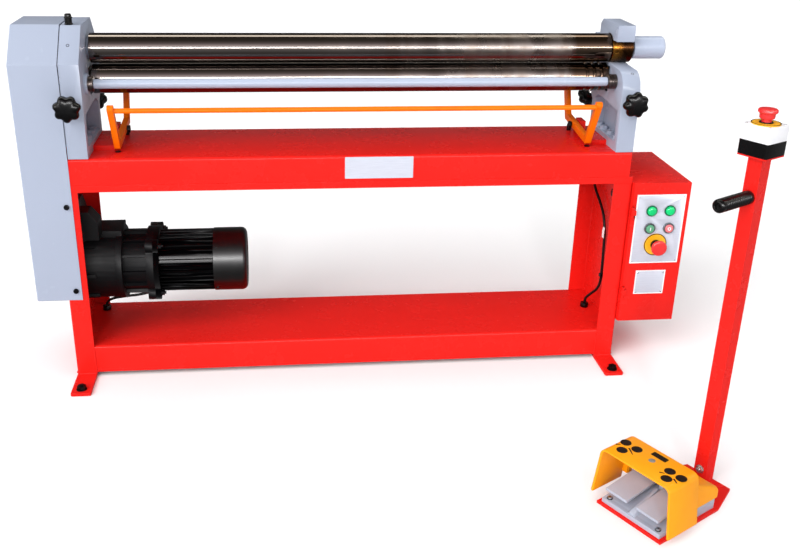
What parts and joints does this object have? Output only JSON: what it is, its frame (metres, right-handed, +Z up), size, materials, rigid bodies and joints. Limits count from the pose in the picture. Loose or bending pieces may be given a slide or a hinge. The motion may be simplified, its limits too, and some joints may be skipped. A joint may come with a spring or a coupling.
{
  "type": "plate rolling machine",
  "caption": "Motor-driven three-roll plate bending machine on a red channel frame, with geared rolls, star-knob adjusters, trip bar, control box and foot pedal stand.",
  "frame": {"origin": "middle of the outline on the floor, machine and foot control together", "axes": "+X to the right along the rolls, towards the control box; +Y to the rear; +Z up"},
  "size_m": [1.633, 1.1352, 0.898],
  "materials": {
    "red_paint": "gloss paint",
    "grey_paint": "satin hammer paint",
    "roll_steel": "ground and polished",
    "gear_steel": "machined",
    "black_cast": "semi-gloss paint on cast aluminium",
    "black_bolt": "black oxide",
    "zinc": "zinc plated",
    "bronze": "oiled bronze",
    "orange_paint": "gloss paint",
    "black_plastic": "moulded",
    "white_plastic": "moulded",
    "yellow_plastic": "moulded",
    "grey_plastic": "moulded",
    "green_plastic": "moulded",
    "red_plastic": "moulded",
    "cable_rubber": "smooth sheath",
    "plate_sheet": "printed sheet, blank"
  },
  "bodies": {
    "machine": {"leg_left": "red_paint", "leg_right": "red_paint", "top_frame": "red_paint", "deck_beam": "red_paint", "lower_shelf": "red_paint", "foot_plates": "red_paint", "frame_bolts": "black_bolt", "side_stand_left": "grey_paint", "side_stand_right": "grey_paint", "tie_bar": "grey_paint", "oil_cup": "black_plastic", "top_bushes": "bronze", "gear_cover": "grey_paint", "drive_bolts": "black_bolt", "gearbox_housing": "black_cast", "motor_adapter": "black_cast", "motor_body": "black_cast", "fan_cowl": "black_plastic", "drive_chain": "gear_steel", "cables": "cable_rubber", "cable_glands": "black_plastic", "deck_label": "plate_sheet", "trip_pads": "red_paint", "pivot_pins": "zinc", "control_shell": "red_paint"},
    "top_roll": {"top_roll": "roll_steel", "roll_gear_top": "gear_steel", "lift_handle": "grey_paint"},
    "pinch_carriage": {"pinch_blocks": "gear_steel"},
    "lower_roll": {"lower_roll": "roll_steel", "roll_gear_low": "gear_steel"},
    "rear_carriage": {"rear_blocks": "gear_steel"},
    "rear_roll": {"rear_roll": "roll_steel"},
    "wedges": {"adjuster_wedges": "gear_steel"},
    "front_knob_left": {"front_knob_left": "black_plastic"},
    "front_knob_right": {"front_knob_right": "black_plastic"},
    "rear_knob_left": {"rear_knob_left": "black_plastic"},
    "rear_knob_right": {"rear_knob_right": "black_plastic"},
    "drive_sprocket": {"drive_sprocket": "gear_steel"},
    "release_yoke": {"release_yoke": "grey_paint"},
    "trip_frame": {"trip_frame": "orange_paint"},
    "control_door": {"control_door": "red_paint", "panel_plates": "plate_sheet", "pilot_lights": "green_plastic", "button_bezels": "black_plastic", "panel_stop_ring": "yellow_plastic"},
    "start_button": {"start_button": "green_plastic"},
    "stop_button": {"stop_button": "red_plastic"},
    "panel_stop_head": {"panel_stop_head": "red_plastic"},
    "foot_stand": {"foot_post": "red_paint", "carry_grip": "black_plastic", "stop_box_base": "black_plastic", "stop_box_cover": "white_plastic", "post_stop_ring": "yellow_plastic", "switch_base": "grey_plastic", "pedal_hood": "yellow_plastic", "foot_screws": "zinc"},
    "post_stop_head": {"post_stop_head": "red_plastic"},
    "pedal_left": {"pedal_left": "grey_plastic"},
    "pedal_right": {"pedal_right": "grey_plastic"}
  },
  "joints": [
    {"name": "top_roll_spin", "type": "hinge", "parent": "machine", "child": "top_roll", "pos_m": [-0.0385, 0.33755, 0.811], "axis": [1, 0, 0], "continuous": true},
    {"name": "pinch_slide", "type": "slide", "parent": "machine", "child": "pinch_carriage", "axis": [0, 0, 1], "range_m": [-0.004, 0.0015]},
    {"name": "lower_roll_spin", "type": "hinge", "parent": "pinch_carriage", "child": "lower_roll", "pos_m": [-0.0385, 0.33755, 0.7385], "axis": [1, 0, 0], "continuous": true},
    {"name": "wedge_slide", "type": "slide", "parent": "machine", "child": "wedges", "axis": [0, 1, 0], "range_m": [-0.0287, 0.0109]},
    {"name": "front_knob_left_turn", "type": "hinge", "parent": "wedges", "child": "front_knob_left", "pos_m": [-0.6885, 0.16755, 0.705], "axis": [0, 1, 0], "range_deg": [-3425, 1290]},
    {"name": "front_knob_right_turn", "type": "hinge", "parent": "wedges", "child": "front_knob_right", "pos_m": [0.6325, 0.16755, 0.705], "axis": [0, 1, 0], "range_deg": [-3425, 1290]},
    {"name": "rear_slide", "type": "slide", "parent": "machine", "child": "rear_carriage", "axis": [0, -0.7071, 0.7071], "range_m": [-0.012, 0.016]},
    {"name": "rear_roll_spin", "type": "hinge", "parent": "rear_carriage", "child": "rear_roll", "pos_m": [-0.0385, 0.42155, 0.738], "axis": [1, 0, 0], "continuous": true},
    {"name": "rear_knob_left_turn", "type": "hinge", "parent": "rear_carriage", "child": "rear_knob_left", "pos_m": [-0.6885, 0.42155, 0.738], "axis": [0, -0.7071, 0.7071], "range_deg": [-1450, 1930]},
    {"name": "rear_knob_right_turn", "type": "hinge", "parent": "rear_carriage", "child": "rear_knob_right", "pos_m": [0.6325, 0.42155, 0.738], "axis": [0, -0.7071, 0.7071], "range_deg": [-1450, 1930]},
    {"name": "drive_sprocket_spin", "type": "hinge", "parent": "machine", "child": "drive_sprocket", "pos_m": [-0.7885, 0.33755, 0.264], "axis": [1, 0, 0], "continuous": true},
    {"name": "release_yoke_hinge", "type": "hinge", "parent": "machine", "child": "release_yoke", "pos_m": [0.6325, 0.43755, 0.812], "axis": [-1, 0, 0], "range_deg": [0, 100]},
    {"name": "trip_frame_hinge", "type": "hinge", "parent": "machine", "child": "trip_frame", "pos_m": [-0.0245, 0.38255, 0.602], "axis": [1, 0, 0], "range_deg": [-2.5, 2.2], "stiffness_Nm_per_rad": 400},
    {"name": "control_door_hinge", "type": "hinge", "parent": "machine", "child": "control_door", "pos_m": [0.6695, 0.19255, 0.3], "axis": [0, 0, -1], "range_deg": [0, 110]},
    {"name": "start_button_push", "type": "slide", "parent": "control_door", "child": "start_button", "axis": [0, 1, 0], "range_m": [0, 0.003], "stiffness_N_per_m": 500, "springref_m": -0.001},
    {"name": "stop_button_push", "type": "slide", "parent": "control_door", "child": "stop_button", "axis": [0, 1, 0], "range_m": [0, 0.003], "stiffness_N_per_m": 500, "springref_m": -0.001},
    {"name": "panel_stop_push", "type": "slide", "parent": "control_door", "child": "panel_stop_head", "axis": [0, 1, 0], "range_m": [0, 0.005], "stiffness_N_per_m": 800, "springref_m": -0.001},
    {"name": "foot_stand_place", "type": "slide", "parent": "machine", "child": "foot_stand", "axis": [1, 0, 0], "range_m": [-0.4, 0.4]},
    {"name": "post_stop_push", "type": "slide", "parent": "foot_stand", "child": "post_stop_head", "axis": [0, 0, -1], "range_m": [0, 0.005], "stiffness_N_per_m": 800, "springref_m": -0.002},
    {"name": "pedal_left_press", "type": "hinge", "parent": "foot_stand", "child": "pedal_left", "pos_m": [0.53853, -0.39131, 0.056], "axis": [0.5, -0.866, 0], "range_deg": [0, 5], "stiffness_Nm_per_rad": 8, "springref_deg": -6.88},
    {"name": "pedal_right_press", "type": "hinge", "parent": "foot_stand", "child": "pedal_right", "pos_m": [0.57853, -0.46059, 0.056], "axis": [0.5, -0.866, 0], "range_deg": [0, 5], "stiffness_Nm_per_rad": 8, "springref_deg": -6.88}
  ],
  "couplings": [
    {"joint": "lower_roll_spin", "follows": "top_roll_spin", "ratio": -1},
    {"joint": "drive_sprocket_spin", "follows": "top_roll_spin", "ratio": 1},
    {"joint": "wedge_slide", "follows": "pinch_slide", "ratio": 7.1154},
    {"joint": "front_knob_left_turn", "follows": "pinch_slide", "rad_per_m": 14902},
    {"joint": "front_knob_right_turn", "follows": "pinch_slide", "rad_per_m": 14902},
    {"joint": "rear_knob_left_turn", "follows": "rear_slide", "rad_per_m": 2094.4},
    {"joint": "rear_knob_right_turn", "follows": "rear_slide", "rad_per_m": 2094.4}
  ]
}
